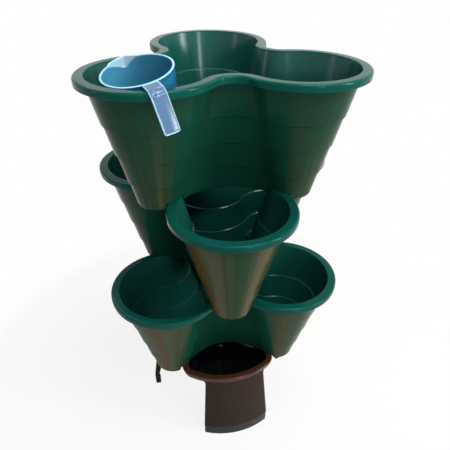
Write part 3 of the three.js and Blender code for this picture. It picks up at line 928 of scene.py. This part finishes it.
def plastic(name, colour, rough, reflection_bands=(), side_reflection=None, wave=0.0, grain=0.02, tint=(1, 1, 1, 1),
            specular=0.5, transmission=0.0):
    """Moulded plastic: slow colour drift, a fine grain and uneven gloss. Reflection bands are
    painted reflections in other shades, laid as flow bands down a pot's lobes where noise puts
    them, with a side reflection colour painted on the lobes' sides. They are fainter high up the
    tower. Wave and grain are heights of relief in millimetres."""
    material = bpy.data.materials.new(name)
    material.use_nodes = True
    nodes, links = material.node_tree.nodes, material.node_tree.links
    shader = nodes["Principled BSDF"]
    shader.inputs["IOR"].default_value = PLASTIC_IOR
    shader.inputs["Specular IOR Level"].default_value = specular
    shader.inputs["Specular Tint"].default_value = tint
    shader.inputs["Transmission Weight"].default_value = transmission
    place = nodes.new("ShaderNodeTexCoord").outputs["Object"]
    marks = nodes.new("ShaderNodeAttribute")
    marks.attribute_name = "moulding_line"

    def cloud(scale, detail, stretch=None):
        made = nodes.new("ShaderNodeTexNoise")
        made.inputs["Scale"].default_value = scale
        made.inputs["Detail"].default_value = detail
        source = place
        if stretch:
            mapping = nodes.new("ShaderNodeMapping")
            mapping.inputs["Scale"].default_value = (1.0, 1.0, stretch)
            links.new(marks.outputs["Vector"], mapping.inputs["Vector"])
            source = mapping.outputs["Vector"]
        links.new(source, made.inputs["Vector"])
        return made.outputs["Fac"]

    def spread(source, low, high, to_low, to_high):
        made = nodes.new("ShaderNodeMapRange")
        made.inputs["From Min"].default_value = low
        made.inputs["From Max"].default_value = high
        made.inputs["To Min"].default_value = to_low
        made.inputs["To Max"].default_value = to_high
        links.new(source, made.inputs["Value"])
        return made.outputs["Result"]

    def blend(factor, first, second):
        made = nodes.new("ShaderNodeMix")
        made.data_type = "RGBA"
        links.new(factor, made.inputs["Factor"])
        for value, socket in ((first, made.inputs["A"]), (second, made.inputs["B"])):
            if isinstance(value, tuple):
                socket.default_value = value
            else:
                links.new(value, socket)
        return made.outputs["Result"]

    def length(source, axes):
        """The length of a vector along the chosen axes."""
        made = nodes.new("ShaderNodeVectorMath")
        made.operation = "MULTIPLY"
        made.inputs[1].default_value = axes
        links.new(source, made.inputs[0])
        size = nodes.new("ShaderNodeVectorMath")
        size.operation = "LENGTH"
        links.new(made.outputs["Vector"], size.inputs[0])
        return size.outputs["Value"]

    def times(first, second):
        return join(nodes, links, "MULTIPLY", first, second)

    flow = cloud(*FLOW_NOISE)
    fine_flow = cloud(*FINE_FLOW_NOISE)
    dark = tuple(c * (1 - COLOUR_DRIFT) for c in colour[:3]) + (1.0,)
    light = tuple(c * (1 + COLOUR_DRIFT) for c in colour[:3]) + (1.0,)
    made = blend(spread(cloud(*DRIFT_NOISE), NOISE_LOW, NOISE_HIGH, 0.0, 1.0), dark, light)
    # Painted reflections: brown, olive and grey bands down the lobes and a brown on their sides,
    # both fainter high up the tower
    if reflection_bands:
        ramp = nodes.new("ShaderNodeValToRGB")
        while len(ramp.color_ramp.elements) < len(reflection_bands):
            ramp.color_ramp.elements.new(0.5)
        for stop, (spot, shade) in zip(ramp.color_ramp.elements, reflection_bands):
            stop.position = spot
            stop.color = shade
        links.new(flow, ramp.inputs["Fac"])
        reach = length(marks.outputs["Vector"], (1, 1, 0))
        height = length(place, (0, 0, 1))
        reflection_height_share = spread(height, FAINT_HEIGHT, FULL_HEIGHT, FAINT_SHARE, 1.0)
        side = times(
            spread(reach, LOBE_START, SIDE_RISE_END, 0.0, SIDE_REFLECTION_SHARE),
            spread(reach, LOBE_FULL, SIDE_FALL_START, 0.0, 1.0),
        )
        made = blend(times(side, reflection_height_share), made, side_reflection)
        share = spread(fine_flow, NOISE_LOW, NOISE_HIGH, REFLECTION_BAND_THIN_SHARE * REFLECTION_BAND_SHARE, REFLECTION_BAND_SHARE)
        share = times(share, spread(reach, LOBE_START, LOBE_FULL, 0.0, 1.0))
        made = blend(times(share, reflection_height_share), made, ramp.outputs["Color"])
    links.new(made, shader.inputs["Base Color"])
    links.new(spread(fine_flow, NOISE_LOW, NOISE_HIGH, *rough), shader.inputs["Roughness"])

    def bump(height, distance, under=None):
        made = nodes.new("ShaderNodeBump")
        made.inputs["Distance"].default_value = distance
        links.new(height, made.inputs["Height"])
        if under:
            links.new(under, made.inputs["Normal"])
        return made.outputs["Normal"]

    surface = bump(cloud(*GRAIN_NOISE), grain * MM)
    if wave:
        surface = bump(flow, wave * MM, surface)
    links.new(surface, shader.inputs["Normal"])
    return material


def make_camera():
    data = bpy.data.cameras.new("camera")
    data.sensor_width = CAMERA_SENSOR
    data.lens = CAMERA_LENS
    data.clip_start, data.clip_end = CAMERA_CLIP
    camera = bpy.data.objects.new("camera", data)
    ahead = Vector(CAMERA_AHEAD).normalized()
    right = Vector(CAMERA_RIGHT)
    right = (right - ahead * right.dot(ahead)).normalized()
    up = right.cross(ahead)
    turn = Matrix((right, up, -ahead)).transposed()
    camera.matrix_world = Matrix.Translation(CAMERA_PLACE) @ turn.to_4x4()
    bpy.context.scene.collection.objects.link(camera)
    bpy.context.scene.camera = camera


def lamp(name, place, target, width, height, power):
    """A white rectangle of light that faces a target."""
    data = bpy.data.lights.new(name, "AREA")
    data.shape = "RECTANGLE"
    data.size, data.size_y = width, height
    data.energy = power
    light = bpy.data.objects.new(name, data)
    light.location = place
    light.rotation_mode = "QUATERNION"
    light.rotation_quaternion = (Vector(target) - Vector(place)).to_track_quat("-Z", "Y")
    bpy.context.scene.collection.objects.link(light)


def seen_or_mirrored(nodes, links):
    """1 for rays that show the backdrop: from the camera, off a gloss, or through something clear.
    Then 1 for rays from the camera alone."""
    rays = nodes.new("ShaderNodeLightPath").outputs
    seen = join(nodes, links, "MAXIMUM", rays["Is Camera Ray"], rays["Is Glossy Ray"])
    shown = join(nodes, links, "MAXIMUM", seen, rays["Is Transmission Ray"])
    return shown, rays["Is Camera Ray"]


def make_world():
    """White where it is seen or mirrored, and a plain soft level where it only lights."""
    world = bpy.data.worlds.new("studio")
    bpy.context.scene.world = world
    world.use_nodes = True
    nodes, links = world.node_tree.nodes, world.node_tree.links
    back = nodes["Background"]
    back.inputs["Color"].default_value = (1, 1, 1, 1)
    level = nodes.new("ShaderNodeMapRange")
    level.inputs["To Min"].default_value = AMBIENT
    level.inputs["To Max"].default_value = 1.0
    links.new(seen_or_mirrored(nodes, links)[0], level.inputs["Value"])
    links.new(level.outputs["Result"], back.inputs["Strength"])


def make_floor():
    """A pale disc that turns to plain white away from the object. The camera sees at least a
    share of white, which keeps the object's shadow soft."""
    vertices = [(0, 0, 0)]
    faces = []
    for i, radius in enumerate(FLOOR_RINGS):
        for j in range(FLOOR_STEPS):
            spot = polar(radius / MM, 2 * math.pi * j / FLOOR_STEPS)
            vertices.append((spot.x, spot.y, 0))
        for j in range(FLOOR_STEPS):
            k = (j + 1) % FLOOR_STEPS
            if i == 0:
                faces.append((0, 1 + j, 1 + k))
            else:
                a, b = 1 + (i - 1) * FLOOR_STEPS, 1 + i * FLOOR_STEPS
                faces.append((a + j, b + j, b + k, a + k))
    floor = make_object("floor", vertices, faces)
    material = bpy.data.materials.new("floor_pale")
    material.use_nodes = True
    nodes, links = material.node_tree.nodes, material.node_tree.links
    shader = nodes["Principled BSDF"]
    shader.inputs["Base Color"].default_value = linear(214, 211, 206)
    shader.inputs["Roughness"].default_value = FLOOR_ROUGH
    shader.inputs["Specular IOR Level"].default_value = 0.0
    place = nodes.new("ShaderNodeTexCoord")
    distance = nodes.new("ShaderNodeVectorMath")
    distance.operation = "LENGTH"
    links.new(place.outputs["Object"], distance.inputs[0])
    fade = nodes.new("ShaderNodeMapRange")
    fade.interpolation_type = "SMOOTHSTEP"
    fade.inputs["From Min"].default_value = FADE_START
    fade.inputs["From Max"].default_value = FADE_END
    links.new(distance.outputs["Value"], fade.inputs["Value"])
    white_rays, camera_rays = seen_or_mirrored(nodes, links)
    share = join(
        nodes, links, "MAXIMUM",
        join(nodes, links, "MULTIPLY", fade.outputs["Result"], white_rays),
        join(nodes, links, "MULTIPLY", camera_rays, LEAST_WHITE),
    )
    white = nodes.new("ShaderNodeEmission")
    white.inputs["Color"].default_value = (1, 1, 1, 1)
    white.inputs["Strength"].default_value = 1.0
    mix = nodes.new("ShaderNodeMixShader")
    links.new(share, mix.inputs["Fac"])
    links.new(shader.outputs["BSDF"], mix.inputs[1])
    links.new(white.outputs["Emission"], mix.inputs[2])
    links.new(mix.outputs["Shader"], nodes["Material Output"].inputs["Surface"])
    floor.data.materials.append(material)


make_camera()

# The pots' outside carries painted reflections: the band colours and the side colour stand for
# surroundings mirrored in the walls
wall_green = plastic(
    "pot_outside", linear(16, 60, 47), (0.13, 0.2),
    reflection_bands=[
        (0.3, linear(40, 54, 30)), (0.42, linear(62, 64, 42)), (0.5, linear(50, 56, 30)),
        (0.58, linear(80, 68, 36)), (0.65, linear(74, 78, 62)), (0.73, linear(100, 66, 28)),
    ],
    side_reflection=linear(78, 58, 30), wave=0.1, tint=linear(225, 235, 225), specular=0.05,
)
rim_green = plastic(
    "pot_rim", linear(8, 66, 58), (0.08, 0.14), wave=0.1, tint=linear(150, 225, 220), specular=0.12,
)
inner_green = plastic(
    "pot_inside", linear(17, 71, 63), (0.15, 0.24),
    wave=0.3, tint=linear(225, 245, 255), specular=0.3,
)
leg_brown = plastic("stand_legs", linear(40, 28, 23), (0.2, 0.3), wave=0.1, specular=0.12)
# The rim takes a lighter, redder copy of the stand's brown as painted light
rim_lit_brown = plastic("stand_rim", linear(62, 34, 24), (0.16, 0.24), wave=0.1, specular=0.2)
# Near black in the dish is painted shade: the dish is the same brown plastic as the stand
dish_shade_black = plastic("stand_dish", linear(6, 7, 12), (0.1, 0.16), wave=0.1, specular=0.3)
shoe_black = plastic(
    "shoe_plastic", linear(8, 14, 24), (0.06, 0.12), wave=5.0, grain=0.2, specular=0.3,
)
jug_blue = plastic(
    "jug_cup_outside", linear(34, 98, 136), (0.08, 0.14), transmission=0.1, grain=0.0, specular=0.3,
)
# The cup's inside takes a lighter blue than its outside as painted light
jug_inner_lit_blue = plastic(
    "jug_cup_inside", linear(70, 142, 174), (0.08, 0.14),
    transmission=0.15, grain=0.0, specular=0.5,
)
# The bead takes a pale blue as a painted highlight along the rim
bead_highlight_blue = plastic("jug_bead", linear(150, 202, 224), (0.1, 0.16), transmission=0.1, grain=0.0)
# The strap takes a lighter blue than the cup as painted light
strap_lit_blue = plastic(
    "jug_strap", linear(94, 136, 176), (0.08, 0.14), transmission=0.5, grain=0.0, specular=0.6,
)
# The strap's borders take a pale blue as a painted highlight on their edges
border_highlight_blue = plastic(
    "jug_strap_border", linear(155, 192, 218), (0.12, 0.2), transmission=0.45, grain=0.0,
)
# The lip takes a pale grey blue as a painted highlight on the thin folded plastic
lip_highlight_blue = plastic("jug_lip", linear(132, 164, 184), (0.08, 0.14), transmission=0.1, grain=0.0)

for tier, side in enumerate(("bottom", "middle", "top")):
    make_pot(
        f"{side}_pot_shell", [wall_green, rim_green, inner_green],
        (tier % 2) * THIRD / 2, FIRST_POT + tier * TIER_PITCH, f"{side}_pot", f"{side}_pot",
    )
make_stand([leg_brown, rim_lit_brown, dish_shade_black])
for k, side in enumerate(("left", "front", "right")):
    make_shoe(side, k, shoe_black)
make_jug([jug_blue, strap_lit_blue, bead_highlight_blue, border_highlight_blue, jug_inner_lit_blue, lip_highlight_blue])

make_floor()
make_world()

# Lamps: place, target, width and height in metres, and power in watts
lamp("overhead", (0.6, -0.3, 2.9), (0, 0, 0.4), 1.4, 1.0, 54)
lamp("strip_front", (0.2, -1.6, 2.2), (0, 0, 0.5), 2.0, 0.1, 20)
lamp("window_right", (1.85, -0.95, 1.45), (0, 0, 0.5), 0.5, 1.4, 40)
lamp("window_front", (0.82, -2.68, 0.95), (0, 0, 0.6), 0.35, 1.5, 22)
lamp("window_left", (-2.2, -0.27, 0.95), (0, 0, 0.6), 0.3, 1.5, 4)
lamp("window_back", (-0.9, 1.5, 2.5), (0, 0, 0.4), 0.8, 1.2, 14)

scene = bpy.context.scene
scene.view_settings.view_transform = "Standard"
